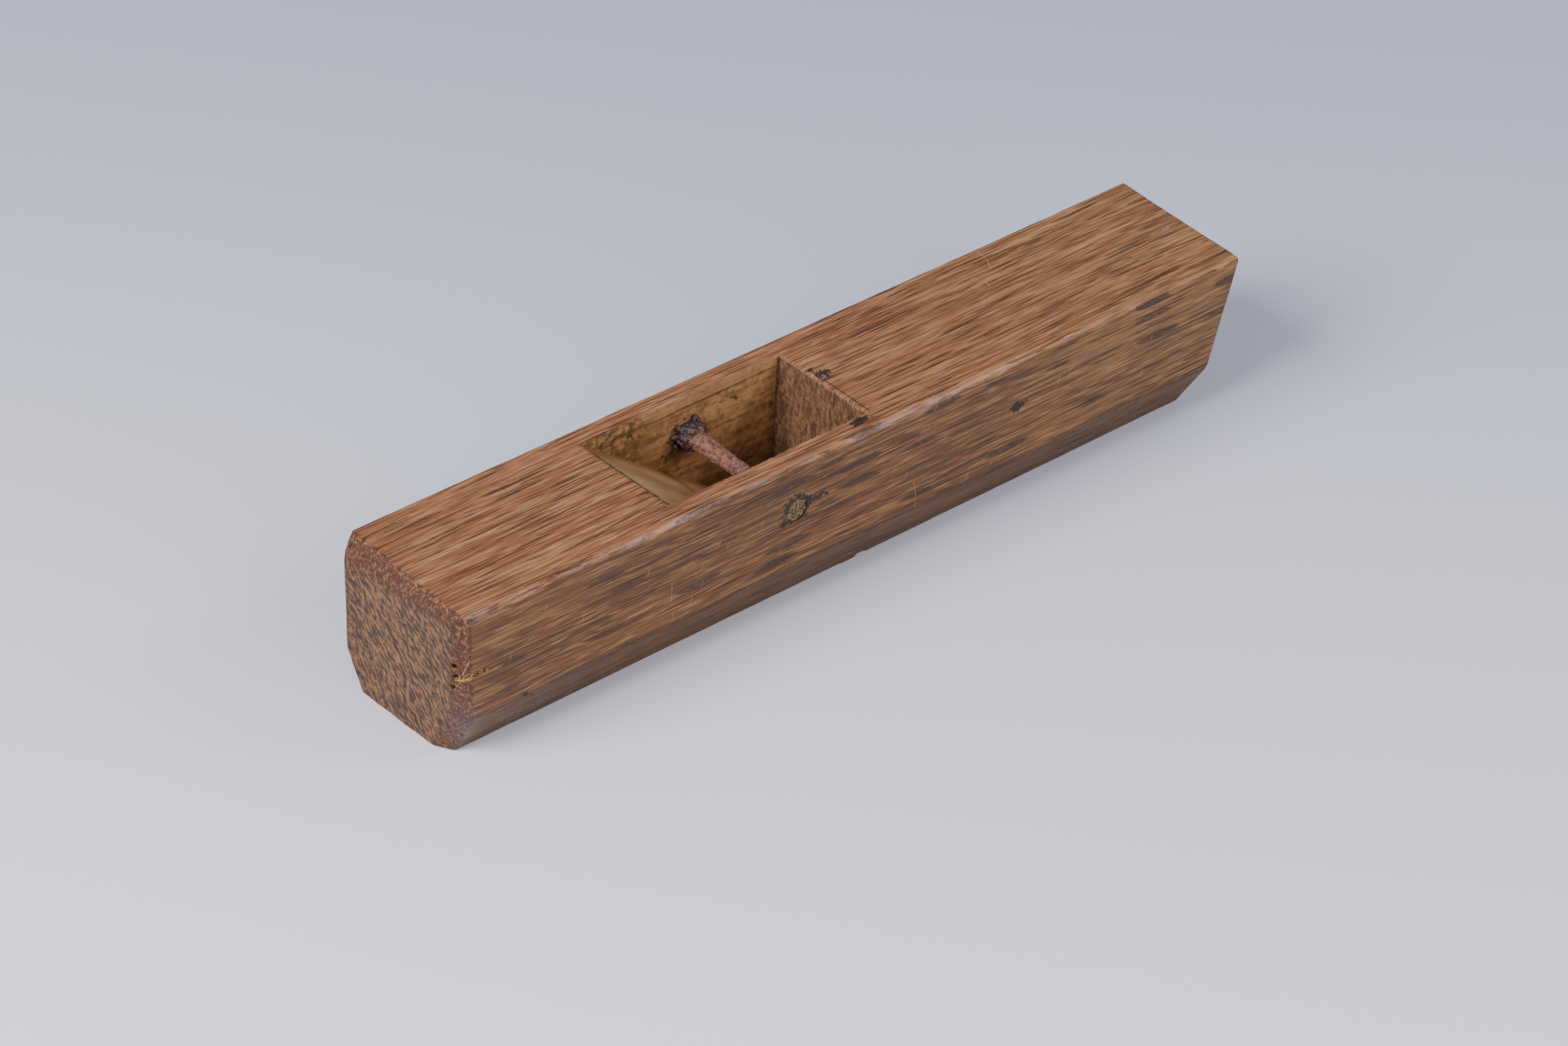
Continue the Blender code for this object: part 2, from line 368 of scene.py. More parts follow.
# The pin's axis, with +Z along it and its origin on the middle line of the stock
pinSizes = {
    "behindMouth": 26.3, "overBed": 12.8, "slope": 3.0, "skew": 2.9,
    "endRadius": 3.9, "waistRadius": 2.35, "shankRadius": 3.0, "flareRadius": 4.6, "endRecess": 0.25,
    "waistToCheek": 7.5, "waistLength": 9.0, "flareLength": 5.5, "boreRadius": 3.8, "endRound": 0.25,
    "neckRadius": 3.0, "swellRadius": 3.7, "taper": 0.15, "grain": 0.24,
}


# A frame at that place with +Z along the axis
def standing(place, axis):
    return Matrix.Translation(Vector(place) * mm) @ axis.to_track_quat("Z", "Y").to_matrix().to_4x4()


def pinFrame():
    p, s = pinSizes, stockSizes
    x = s["mouthRear"] - p["behindMouth"]
    bed = s["mouthLand"] + p["behindMouth"] * slope(s["bedAngle"])
    z = bed + p["overBed"] / cos(radians(s["bedAngle"]))
    return standing((x, 0, z), Vector((-slope(p["skew"]), 1, slope(p["slope"]))).normalized())


def turnedMesh(name, profile, segments):
    rings = []
    for along, radius in profile:
        angle = 2 * pi * np.arange(segments) / segments
        ring = [radius * np.cos(angle), radius * np.sin(angle), np.full(segments, along)]
        rings.append(np.stack(ring, axis=-1))
    points = np.concatenate(rings)
    faces = []
    for ring in range(len(profile) - 1):
        for i in range(segments):
            a, b = ring * segments + i, ring * segments + (i + 1) % segments
            faces.append((a, b, b + segments, a + segments))
    faces.append(tuple(range(segments))[::-1])
    faces.append(tuple(range(len(points) - segments, len(points))))
    bm = bmesh.new()
    verts = [bm.verts.new(Vector(point) * mm) for point in points]
    for face in faces:
        bm.faces.new([verts[i] for i in face])
    bmesh.ops.recalc_face_normals(bm, faces=bm.faces)
    return settled(name, bm)


# Cutting can leave points in the middle of an edge, which would turn into slivers as triangles
def dropSparePoints(mesh):
    bm = bmesh.new()
    bm.from_mesh(mesh)
    spare = [vert for vert in bm.verts if len(vert.link_edges) == 2]
    bmesh.ops.dissolve_verts(bm, verts=spare)
    bm.to_mesh(mesh)
    bm.free()
    print("points dropped after the cut:", len(spare))


# Cuts all the cutters out in one go; what is bored takes the cutter's own finish
def cutFrom(body, cutters, finishes):
    for cutter, finish in cutters:
        for face in cutter.data.polygons:
            face.material_index = finishes.index(finish)
    joined = mergeMeshes("cutters", [cutter for cutter, finish in cutters])
    for finish in finishes:
        joined.data.materials.append(finish)
    cut = body.modifiers.new("cut", "BOOLEAN")
    cut.operation = "DIFFERENCE"
    cut.solver = "EXACT"
    cut.material_mode = "TRANSFER"
    cut.object = joined
    flowed(body)
    bpy.data.objects.remove(joined)
    dropSparePoints(body.data)


nailPlace = {
    "x": (nailLow[0] + nailHigh[0]) / 2, "y": (nailLow[1] + nailHigh[1]) / 2,
    "holeRadius": 1.25, "holeDepth": 9.4, "sunk": 0.05, "grain": 0.12,
    "profile": [(-9, 0.6), (-3, 1.05), (-0.25, 1.1), (0, 0.95)],     # height and radius
}
wormHoles = {                                    # flight holes on the trimmed corner: place and radius
    "places": [((-150.2, -22.9, 33.6), 1.15), ((-150.3, -22.6, 26.2), 1.0)],
    "gallery": [((-149.2, -21.8, 29.9), 0.9), ((-150.0, -23.2, 30.0), 1.15), ((-148.5, -25.7, 30.2), 1.15),
                ((-146.8, -26.8, 31.2), 1.05), ((-144, -27.0, 31.6), 0.95), ((-141.2, -27.2, 31.0), 0.6)],
    "depth": 3.0,
}


# A short worm gallery that broke through to the surface
def galleryMesh(route):
    curve = bpy.data.curves.new("gallery", "CURVE")
    curve.dimensions = "3D"
    curve.bevel_depth = mm
    curve.bevel_resolution = 2
    curve.use_fill_caps = True
    line = curve.splines.new("POLY")
    line.points.add(len(route) - 1)
    for point, (place, radius) in zip(line.points, route):
        point.co = (*(Vector(place) * mm), 1)
        point.radius = radius
    made = linked("gallery", curve)
    mesh = bpy.data.meshes.new_from_object(made.evaluated_get(bpy.context.evaluated_depsgraph_get()))
    bpy.data.objects.remove(made)
    return linked("gallery", mesh)


def boreStock(stockPiece, finish, rawWood):
    bore = turnedMesh("bore", [(-40, pinSizes["boreRadius"]), (40, pinSizes["boreRadius"])], 36)
    bore.matrix_world = pinFrame()
    radius = nailPlace["holeRadius"]
    hole = turnedMesh("hole", [(-nailPlace["holeDepth"], radius), (2, radius)], 16)
    hole.matrix_world = Matrix.Translation(Vector((nailPlace["x"], nailPlace["y"], height)) * mm)
    cutters = [(bore, finish), (hole, finish)]
    outward = Vector((-stockSizes["trimAcross"], -stockSizes["trimAlong"], 0.6)).normalized()
    for place, radius in wormHoles["places"]:
        drill = turnedMesh("worm", [(-wormHoles["depth"], radius * 0.7), (0, radius), (2, radius)], 12)
        drill.matrix_world = standing(place, outward)
        cutters.append((drill, rawWood))
    cutters.append((galleryMesh(wormHoles["gallery"]), rawWood))
    bpy.context.view_layer.update()
    cutFrom(stockPiece, cutters, [finish, rawWood])


# The pin rusted thin where it is bare and swollen with crust against the far cheek
crustSizes = {
    "middle": (-31.1, 18.0, 38.4), "reach": (4.3, 3.2, 4.0),
    "density": 0.6,                              # knobs for each square millimetre
    "smallest": 0.45, "largest": 1.25, "seed": 7,
    "outliers": [((-36.6, 19.6, 39.0), 1.15), ((-34.9, 19.5, 41.8), 1.2), ((-28.6, 19.5, 43.0), 1.05),
                 ((-32.4, 19.4, 33.6), 1.1), ((-26.4, 19.6, 39.6), 0.9), ((-35.6, 19.7, 35.4), 0.9)],
}


def sphereMesh(name, middle, reach, detail):
    bm = bmesh.new()
    bmesh.ops.create_icosphere(bm, subdivisions=detail, radius=1)
    for vert in bm.verts:
        vert.co = Vector([(c + v * r) * mm for c, v, r in zip(middle, vert.co, reach)])
    return settled(name, bm)


# Scatters small knobs over a surface, which stays under them
def noduleTree(finish):
    tree = bpy.data.node_groups.new("rustNodules", "GeometryNodeTree")
    tree.interface.new_socket("Geometry", in_out="INPUT", socket_type="NodeSocketGeometry")
    sockets = {}
    for name, kind in (("Density", "Float"), ("Smallest", "Float"), ("Largest", "Float"), ("Seed", "Int")):
        socket = tree.interface.new_socket(name, in_out="INPUT", socket_type="NodeSocket" + kind)
        sockets[name] = socket.identifier
    tree.interface.new_socket("Geometry", in_out="OUTPUT", socket_type="NodeSocketGeometry")
    node = partial(add, tree)
    entry = node("NodeGroupInput")
    points = node("GeometryNodeDistributePointsOnFaces", Mesh=entry.outputs["Geometry"],
                 Density=entry.outputs["Density"], Seed=entry.outputs["Seed"])
    knob = node("GeometryNodeMeshIcoSphere", Radius=1.0, Subdivisions=2)
    size = node("FunctionNodeRandomValue")
    size.data_type = "FLOAT"
    fill(size.inputs[2], entry.outputs["Smallest"])
    fill(size.inputs[3], entry.outputs["Largest"])
    knobs = node("GeometryNodeInstanceOnPoints", Points=points, Instance=knob, Scale=size.outputs[1])
    joined = node("GeometryNodeJoinGeometry", node("GeometryNodeRealizeInstances", knobs))
    fill(joined.inputs[0], entry.outputs["Geometry"])
    finished = node("GeometryNodeSetMaterial", Geometry=joined, Material=finish)
    node("NodeGroupOutput", finished)
    return tree, sockets


def mergeMeshes(name, objects):
    bm = bmesh.new()
    for obj in objects:
        part = obj.data.copy()
        part.transform(obj.matrix_world)
        bm.from_mesh(part)
        bpy.data.meshes.remove(part)
        bpy.data.objects.remove(obj)
    return settled(name, bm)


def remeshed(obj, grain):
    fuse = obj.modifiers.new("fuse", "REMESH")
    fuse.mode = "VOXEL"
    fuse.voxel_size = grain * mm
    ease = obj.modifiers.new("ease", "SMOOTH")
    ease.factor = 0.5
    ease.iterations = 1
    return flowed(obj)


def shapePin(finish):
    p, s, c = pinSizes, stockSizes, crustSizes
    stretch = Vector((slope(p["skew"]), 1, slope(p["slope"]))).length
    nearWall = (s["nearCheek"] - halfWidth) * stretch
    farWall = (halfWidth - s["farCheek"]) * stretch
    end = halfWidth * stretch - p["endRecess"]
    waist = nearWall + p["waistToCheek"]
    flare = farWall - p["flareLength"]
    soft = p["endRound"]
    marks = [
        (-end, p["endRadius"] - soft), (-end + soft, p["endRadius"]), (nearWall, p["endRadius"]),
        (nearWall + p["waistToCheek"] / 3, p["neckRadius"]), (waist, p["waistRadius"]),
        (waist + p["waistLength"], p["waistRadius"] + p["taper"]), (flare, p["shankRadius"] + p["taper"]),
        (flare + p["flareLength"] * 0.6, p["swellRadius"]), (farWall, p["flareRadius"]),
        (farWall + 0.2, p["endRadius"]), (end - soft, p["endRadius"]), (end, p["endRadius"] - soft),
    ]
    shank = turnedMesh("shank", marks, 40)
    shank.matrix_world = pinFrame()
    bpy.context.view_layer.update()
    crust = sphereMesh("crust", c["middle"], c["reach"], 4)
    tree, sockets = noduleTree(finish)
    grow = crust.modifiers.new("grow", "NODES")
    grow.node_group = tree
    grow[sockets["Density"]] = c["density"] / mm ** 2
    grow[sockets["Smallest"]] = c["smallest"] * mm
    grow[sockets["Largest"]] = c["largest"] * mm
    grow[sockets["Seed"]] = c["seed"]
    flowed(crust)
    bpy.data.node_groups.remove(tree)
    knobs = [sphereMesh("knob", place, (radius,) * 3, 2) for place, radius in c["outliers"]]
    pin = mergeMeshes("rusted_pin", [shank, crust] + knobs)
    pin.data.materials.clear()
    pin.data.materials.append(finish)
    remeshed(pin, p["grain"])
    mesh = pin.data
    points = meshPoints(mesh)
    normals = vectors(mesh.vertex_normals, "vector")
    bare = ease(-19.4, -17, points[:, 1]) * ease(20.4, 19.5, points[:, 1])
    flakes = 0.22 * lumps(points, (1.9, 2.6, 1.9), 61) + 0.12 * lumps(points, (0.8, 1.0, 0.8), 62)
    pits = -0.3 * ease(0.35, 0.8, lumps(points, (1.2, 1.7, 1.2), 63))
    pits = pits - 0.1 * ease(0.3, 0.8, lumps(points, (0.5, 0.5, 0.5), 64))
    face = ease(-26.3, -26.7, points[:, 1]) * 0.12 * lumps(points, (1.2, 1.2, 1.2), 65)
    points = points + normals * ((flakes + pits) * bare + face)[:, None]
    points[:, 1] = np.clip(points[:, 1], 0.03 - halfWidth, halfWidth - 0.03)
    setPoints(mesh, points)
    mesh.shade_smooth()
    return pin


def shapeNail(finish):
    top = height - nailPlace["sunk"]
    nail = turnedMesh("nail_stub", nailPlace["profile"], 24)
    nail.matrix_world = Matrix.Translation(Vector((nailPlace["x"], nailPlace["y"], top)) * mm)
    bpy.context.view_layer.update()
    nail.data.transform(nail.matrix_world)
    nail.matrix_world = Matrix.Identity(4)
    remeshed(nail, nailPlace["grain"])
    points = meshPoints(nail.data)
    rim = ease(top - 1.2, top - 0.3, points[:, 2])
    points[:, 2] += rim * (0.12 * lumps(points, (0.7, 0.7, 9), 71) - 0.12)
    points[:, 0] += rim * 0.1 * lumps(points, (0.8, 0.8, 2), 72)
    setPoints(nail.data, points)
    nail.data.shade_smooth()
    nail.data.materials.clear()
    nail.data.materials.append(finish)
    return nail


# Marks on the block, each a place, its reach along x, y and z, and a strength from 0 to 1
stainsAndPaintedShade = {
    "dark": [
        ((-28.2, -27.2, 36.6), (6.2, 3, 5.4), 1.0), ((-32.6, -27.2, 32.6), (3.6, 3, 1.6), 0.8),
        ((-20.5, -27.2, 36.8), (6, 3, 1.4), 0.8), ((0.6, -21.1, 51.4), (4.2, 1.9, 2), 1.0),
        ((-2.6, -22.0, 51.4), (3.0, 1.0, 2), 0.8), ((7.9, 4.4, 51.4), (3.4, 2.6, 1), 0.9),
        ((5.8, 7.9, 51.4), (1.8, 1.1, 1.5), 0.9), ((58.0, -27.2, 34.8), (2.7, 2, 2.5), 1.0),
        ((60.8, -27.2, 35.2), (3.0, 2, 0.9), 0.75), ((-128.9, -27.2, 15.9), (1.4, 2, 1.0), 1.0),
        ((-126.9, -27.2, 15.0), (2.0, 2, 0.6), 0.7), ((-125.0, -27.2, 14.6), (1.2, 2, 0.9), 0.9),
        # round the crust on the far wall: iron stain, and at x -36, z 33, below and left of it, painted
        # shadow of the crust
        ((-31, 20.4, 37.6), (8.0, 1.2, 6.6), 1.0), ((-36, 20.4, 33), (7, 1.2, 3.4), 0.7),
        ((-50, 20.4, 45.5), (9, 1.2, 1.8), 0.6), ((-62, 20.4, 47.0), (8, 1.2, 3.0), 0.45),
        # the strip at x 2 runs down the corner of the far wall and the front wall: painted shade
        ((2, 20.4, 30), (2.0, 1.6, 26), 0.45), ((-14, 20.4, 43.2), (7, 1.2, 2.4), 0.55),
        ((-25, 20.4, 44.8), (5, 1.2, 1.5), 0.5),
    ],
    "smoke": [
        ((-30, 20.4, 30), (8, 1.2, 5), 0.6), ((-46, 20.6, 33), (14, 1.0, 2.2), 0.9),
        ((-26, -27.2, 40), (34, 2, 9), 1.0), ((30, -27.2, 30), (24, 2, 8), 0.6),
        ((-100, -27.2, 40), (16, 2, 5), 0.4),
    ],
    "pale": [
        # broad pale patches low on the near side and the heel chamfer: painted reflection of the bluish
        # floor; the last entry is a chip on the top
        ((-128, -27, 6), (22, 9, 9), 0.35), ((-150, -27, 6), (9, 6, 12), 0.9),
        ((144, -0.9, 51.4), (1.5, 1.0, 1), 1.0),
    ],
}


def blobs(points, spots):
    total = np.zeros(len(points))
    for place, reach, strength in spots:
        away = (points - np.array(place)) / np.array(reach)
        total = np.maximum(total, strength * np.exp(-(away ** 2).sum(axis=-1) * 1.1))
    return total


def paint(mesh, name, channels):
    layer = mesh.attributes.new(name, "FLOAT_COLOR", "POINT")
    values = np.ones((len(mesh.vertices), 4))
    for i, channel in enumerate(channels):
        values[:, i] = channel
    layer.data.foreach_set("color", values.ravel())


# Regions in millimetres past their boundary, the rubbed arris and a darker band along the other edges from
# 0 to 1, painted shade on the downward chamfers, and the marks
def paintStock(obj):
    mesh = obj.data
    points = meshPoints(mesh)
    gaps = planeGaps(points)
    named = {name: gaps[:, i] for i, name in enumerate(planeOrder)}
    ends = np.maximum(named["heel"], named["toe"])
    chamfers = np.maximum(named["nearChamfer"], named["farChamfer"])
    flats = np.maximum.reduce([named["near"], named["far"], named["top"]])
    endDepth = ends - np.maximum.reduce([flats, chamfers, named["sole"]])
    crushed = np.maximum.reduce([named["bevel"], named["trim"], named["lowTrim"], named["farTrim"]])
    bevelDepth = crushed - np.maximum.reduce([ends, flats, chamfers])
    upright = np.maximum.reduce([named["near"], named["far"], chamfers, named["trim"]])
    sideDepth = upright - np.maximum(named["top"], ends)
    paint(mesh, "region", (endDepth, bevelDepth, sideDepth))
    fromArris = np.hypot(points[:, 1] + halfWidth, points[:, 2] - height)
    polish = ease(-0.22, 0.02, named["arris"]) * (points[:, 1] < -20) * ease(170, -10, points[:, 0])
    secondGap = np.sort(gaps, axis=1)[:, -2]
    edge = ease(-1.0, -0.1, secondGap) * ease(2, 4, fromArris)
    # the chamfers face down: painted shade
    lower = ease(-1.2, 0.2, chamfers - np.maximum.reduce([flats, named["sole"], ends]))
    paint(mesh, "wearAndPaintedShade", (polish, edge, lower))
    paint(mesh, "stainAndPaintedShade", [blobs(points, stainsAndPaintedShade[kind]) for kind in ("dark", "smoke", "pale")])


# sRGB hex to the linear values that the shaders want
def colour(hexText):
    values = [int(hexText[i:i + 2], 16) / 255 for i in (0, 2, 4)]
    linear = [v / 12.92 if v <= 0.04045 else ((v + 0.055) / 1.055) ** 2.4 for v in values]
    return (*linear, 1.0)


# Short names for the nodes used here: the type, and its operation where it has one
nodeKinds = {
    "coordinates": ("TexCoord",), "attribute": ("Attribute",), "noise": ("TexNoise",),
    "cells": ("TexVoronoi",), "stretch": ("Mapping",), "channels": ("SeparateColor",),
    "axes": ("SeparateXYZ",), "clamp": ("Clamp",), "bump": ("Bump",),
    "mix": ("Mix", "data_type", "RGBA"), "range": ("MapRange", "interpolation_type", "SMOOTHSTEP"),
}
mathNodes = {
    "Math": {"times": "MULTIPLY", "plus": "ADD", "minus": "SUBTRACT", "larger": "MAXIMUM",
             "smaller": "MINIMUM", "absolute": "ABSOLUTE"},
    "VectorMath": {"scale": "SCALE", "move": "ADD", "take": "SUBTRACT", "multiply": "MULTIPLY",
                   "dot": "DOT_PRODUCT", "distance": "DISTANCE"},
}
for mathType, operations in mathNodes.items():
    for word, operation in operations.items():
        nodeKinds[word] = (mathType, "operation", operation)


# Gives a socket its value: a number, a hex colour, a link, or a node's first open output
def fill(socket, value):
    if isinstance(value, bpy.types.Node):
        value = next(each for each in value.outputs if each.enabled)
    if isinstance(value, bpy.types.NodeSocket):
        socket.id_data.links.new(value, socket)
    else:
        socket.default_value = colour(value) if isinstance(value, str) else value


def dress(made, settings):
    for name, value in settings.items():
        fill(made.inputs[name], value)


# Adds a node: unnamed values and links fill its open sockets in turn, named ones go by socket name
def add(tree, kind, *values, **named):
    nodeType, *setting = nodeKinds.get(kind, (kind,))
    made = tree.nodes.new("ShaderNode" + nodeType if kind in nodeKinds else nodeType)
    if setting:
        setattr(made, *setting)
    free = [socket for socket in made.inputs if socket.enabled]
    for socket, value in zip(free, values):
        fill(socket, value)
    dress(made, named)
    return made


# Lays tints over a base in turn: each tint, its share, and what that is multiplied by or eased through
def layered(node, base, layers):
    for tint, share, *steps in layers:
        if steps:
            share = node("times" if len(steps) == 1 else "range", share, *steps)
        base = node("mix", share, base, tint)
    return base


# A material, the function that adds nodes to it, and its shader
def newMaterial(name):
    made = bpy.data.materials.new(name)
    made.use_nodes = True
    return made, partial(add, made.node_tree), made.node_tree.nodes["Principled BSDF"]


def inMillimetres(node):
    return node("scale", node("coordinates").outputs["Object"], 1000.0)


# The three channels of a painted attribute
def painted(node, name):
    layer = node("attribute")
    layer.attribute_name = name
    return node("channels", layer.outputs["Color"]).outputs


# The oak's growth: its rays climb towards +Y at rayClimb, and the grain wanders by sway
oak = {"rayClimb": 43.0, "sway": 4.0}


# Noise drawn out along the axes, with that many lumps to the millimetre
def drawnNoise(node, place, scale, detail=3.0, **named):
    return node("noise", node("stretch", place, Scale=scale), 1.0, detail, **named)


# Coordinates with the grain along x, the growth rings' tangent along y and the rays along z
def grainSpace(node, place):
    slow = drawnNoise(node, place, (0.007, 0.02, 0.02), 1.0)
    sway = node("take", slow.outputs["Color"], (0.5, 0.5, 0.5))
    sway = node("multiply", sway, (0, oak["sway"], oak["sway"]))
    turn = (radians(oak["rayClimb"]), 0, 0)
    return node("stretch", node("move", place, sway), Rotation=turn)


# Noise whose lumps have that size in millimetres along the grain, the tangent and the ray
def grainNoise(node, grain, size, detail=2.0, offset=0.0, rough=0.55):
    shift = (offset, offset * 1.7, offset * 0.6)
    scaled = node("stretch", grain, Location=shift, Scale=[1 / reach for reach in size])
    return node("noise", scaled, 1.0, detail, rough)


# Lens-shaped streaks, one in a cell of that size; share sets how much of the cell they fill
def grainSpindles(node, grain, size, share, offset=0.0, soft=0.08):
    shift = (offset, offset * 1.3, offset * 0.7)
    scaled = node("stretch", grain, Location=shift, Scale=[1 / reach for reach in size])
    cell = node("cells", scaled, Scale=1.0, Randomness=1.0)
    vary = node("channels", cell.outputs["Color"])
    reach = node("times", node("times", vary, 0.9), share)
    return node("range", node("minus", cell, reach), soft, -0.04)


# Fine marks as strokes: start, end, half width
scratches = {
    "pale": [
        ((88.7, 26, 51.4), (88.4, 21, 51.4), 0.2), ((88.4, 21, 51.4), (85.9, 16.5, 51.4), 0.2),
        ((79.4, 11.6, 51.4), (79.0, 9.3, 51.4), 0.22), ((-75.2, -27.2, 31.3), (-75.4, -27.2, 24), 0.15),
        ((-75.4, -27.2, 24), (-74.6, -27.2, 16.4), 0.12), ((17.3, -27.2, 25.4), (18.4, -27.2, 20), 0.15),
        ((18.4, -27.2, 20), (18.0, -27.2, 14.7), 0.12), ((143.0, -0.6, 51.4), (143.9, -2.8, 51.4), 0.5),
        ((-147.8, -26.9, 36.6), (-149.2, -24.6, 30), 0.2),
        ((-149.2, -24.6, 30), (-150.2, -22.8, 24.6), 0.2),
    ],
    "dark": [
        ((5.8, 8.2, 51.4), (6.1, -6, 51.4), 0.24), ((6.1, -6, 51.4), (6.0, -18.8, 51.4), 0.28),
        ((-71.5, -18.9, 51.4), (-77.5, -19.1, 51.4), 0.15),
    ],
}


def strokeMask(node, place, strokes, ragged):
    total = 0.0
    for start, end, width in strokes:
        start = Vector(start)
        line = Vector(end) - start
        away = node("take", place, start)
        along = node("dot", away, line / line.length_squared)
        foot = node("scale", line, node("clamp", along))
        mask = node("range", node("distance", away, foot), width * 1.4, width * 0.5)
        total = node("larger", total, mask)
    return node("times", total, ragged)


# Short strokes at an angle to the grain, in only a few of the cells
def sparseNicks(node, place, turn, size, share, kept):
    turned = node("stretch", place, Rotation=turn)
    scaled = node("stretch", turned, Scale=[1 / reach for reach in size])
    cell = node("cells", scaled, Scale=1.0, Randomness=1.0)
    vary = node("channels", cell.outputs["Color"]).outputs["Green"]
    some = node("range", vary, 1 - kept, 1.01 - kept)
    return node("times", node("range", cell, share, share * 0.5), some)


oakLook = {
    "top": ("845336", "9D6B48"), "side": ("5B3C23", "76502C"), "red": "7B4427",
    "paleFibre": ("C2946C", "B2875A"), "pore": "3A2318", "ray": "37291F",
    "endDark": "36261E", "endPale": "875F3C", "bevel": "45271E", "bevelPale": "8C5B3C",
    "stainAndPaintedShade": "1B1715", "smoke": "3A2718", "lower": "3A2A12", "paintedReflectionAndChip": "8F8E96",
    "polishAndPaintedSheen": "C0A29E", "edge": "3C271B", "scuff": "C99A70", "dry": "A08052",
}


# Evergreen oak worn by hands and grey with age: low gloss, straight brown grain with dark pore lines,
# dark lens rays, speckled end grain, a crushed heel edge and one arris rubbed shiny under a painted pale
# highlight;
# the sides carry a darker tone, partly painted shade, the chamfers painted shade, and the near heel
# chamfer a painted bluish reflection
def oakMaterial():
    look = oakLook
    made, node, shader = newMaterial("evergreen_oak_handworn")
    place = inMillimetres(node)
    grain = grainSpace(node, place)
    endDepth, bevelDepth, sideDepth = painted(node, "region")
    polish, edge, lower = painted(node, "wearAndPaintedShade")
    dark, smoke, pale = painted(node, "stainAndPaintedShade")
    ragged = node("noise", place, 0.7, 3.0)
    raggedMm = node("range", ragged, 0.3, 0.7, -0.8, 0.8)
    isSide = node("range", sideDepth, -0.6, 0.6)

    tone = node("range", grainNoise(node, grain, (50, 3.2, 6), 3), 0.3, 0.7)
    # the sides take a darker copy of the wood, partly their own tone and partly painted shade
    topTone, sideToneWithPaintedShade = (node("mix", tone, *look[part]) for part in ("top", "side"))
    paleFibre = node("mix", isSide, *look["paleFibre"])
    redness = node("range", grainNoise(node, grain, (34, 3, 6), 2, 30), 0.48, 0.7, 0, 0.42)
    toeward = node("range", node("axes", place).outputs["X"], 0, 130, 0, 0.2)
    # Pore lines and fibres are drawn about twice as coarse as real ones, or they would not show
    lines = grainNoise(node, grain, (80, 0.9, 1.5), 2, 61)
    lineSides = [node("range", lines, outer, 0.45) for outer in (0.40, 0.50)]
    broken = node("range", grainNoise(node, grain, (14, 1.5, 2), 2, 77), 0.40, 0.58, 0.2, 0.85)
    fibre = grainNoise(node, grain, (11, 0.5, 0.8), 2, 7)
    pores = node("range", grainNoise(node, grain, (24, 0.42, 0.7), 1, 19), 0.58, 0.66, 0, 0.8)
    fineRays = grainSpindles(node, grain, (32, 1.2, 18), 0.38, 0, 0.03)
    fineRays = node("times", fineRays, node("range", isSide, 0, 1, 0.95, 0.4))
    wideRays = grainSpindles(node, grain, (30, 2.9, 30), 0.40, 11, 0.03)
    wideRays = node("times", wideRays, node("range", isSide, 0, 1, 0.3, 1.0))
    hatch = node("range", grainNoise(node, grain, (1.6, 0.3, 0.5), 2, 3), 0.35, 0.62, 0.5, 0.92)
    rays = node("times", node("larger", fineRays, wideRays), hatch)
    base = layered(node, topTone, [
        (sideToneWithPaintedShade, isSide), (look["red"], redness), (look["dry"], toeward),
        (paleFibre, lines, 0.55, 0.66, 0, 0.2), (look["pore"], node("times", *lineSides), broken),
        (paleFibre, fibre, 0.52, 0.66, 0, 0.42), (look["pore"], fibre, 0.48, 0.34, 0, 0.38),
        (look["pore"], pores), (look["ray"], rays),
    ])

    speck = grainNoise(node, grain, (6, 0.9, 2.6), 4, 23, 0.65)
    endTone = node("mix", node("range", speck, 0.42, 0.62), look["endDark"], look["endPale"])
    curls = drawnNoise(node, place, (0.5, 1.3, 0.7), Distortion=1.5)
    bevelTone = node("mix", node("range", curls, 0.5, 0.62), look["bevel"], look["bevelPale"])
    bevelShift = node("plus", bevelDepth, node("times", raggedMm, 1.4))
    sheenNoise = grainNoise(node, grain, (9, 1.2, 1.2), 3, 40)
    # the rubbed band along the near arris: it lowers the roughness and lays a painted highlight tint on
    # the wood
    polishAndPaintedSheen = node("times", polish, node("range", sheenNoise, 0.35, 0.6, 0.1, 1))
    reflectionSpeckle = node("range", node("noise", place, 1.6, 4.0, 0.7), 0.42, 0.6)
    paintedReflectionAndChip = node("times", pale, reflectionSpeckle)
    smokeShare = node("times", smoke, node("range", ragged, 0.35, 0.6, 0.35, 0.9))
    frayed = node("plus", dark, node("range", ragged, 0.3, 0.7, -0.2, 0.2))
    cracks = strokeMask(node, place, scratches["dark"], node("range", ragged, 0.3, 0.45))
    scuffs = strokeMask(node, place, scratches["pale"], node("range", ragged, 0.38, 0.55, 0.1, 1))
    nicks = sparseNicks(node, place, (0.9, 0.5, radians(50)), (6, 0.9, 5), 0.34, 0.04)
    scuffs = node("larger", scuffs, node("times", nicks, 0.35))
    base = layered(node, base, [
        (endTone, node("plus", endDepth, raggedMm), -0.3, 0.3),
        (bevelTone, bevelShift, -0.4, 0.4, 0, 0.9),
        # painted shade on the downward chamfers
        (look["lower"], lower, 0.42),
        # a pale lilac tint along the near arris: painted highlight
        (look["polishAndPaintedSheen"], polishAndPaintedSheen, 0.2),
        (look["edge"], edge, node("range", ragged, 0.35, 0.6, 0.1, 0.6)),
        # a grey-lilac speckle over the near heel chamfer: painted reflection of the floor, which also
        # pales the chip on the top
        (look["paintedReflectionAndChip"], paintedReflectionAndChip, 0.6),
        (look["smoke"], smokeShare, 0.42),
        (look["stainAndPaintedShade"], node("range", frayed, 0.36, 0.6), 0.88),
        (look["stainAndPaintedShade"], cracks, 0.8),
        (look["scuff"], scuffs, 0.5),
    ])

